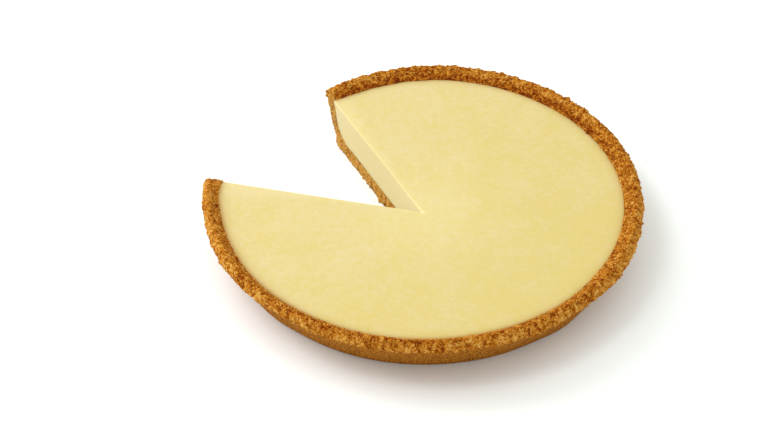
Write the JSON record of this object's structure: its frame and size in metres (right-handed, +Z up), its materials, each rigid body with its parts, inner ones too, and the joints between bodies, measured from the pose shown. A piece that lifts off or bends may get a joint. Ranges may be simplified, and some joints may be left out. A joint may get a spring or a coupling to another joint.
{
  "type": "key lime pie",
  "caption": "Round key lime pie with one slice gone: crumb crust with a flared wall and thick crumbly rim, filled with smooth set lime custard, on a flat underside",
  "frame": {"origin": "middle of the pie's circle, on its flat underside", "axes": "+Z up out of the custard; the missing slice opens towards -X and +Y"},
  "size_m": [0.2354, 0.2337, 0.0343],
  "materials": {
    "baked_crumb_crust": "rough, crumbly, browned",
    "set_lime_custard": "smooth, moist, softly shining"
  },
  "bodies": {
    "root": {"crust": "baked_crumb_crust", "custard": "set_lime_custard"}
  },
  "joints": []
}
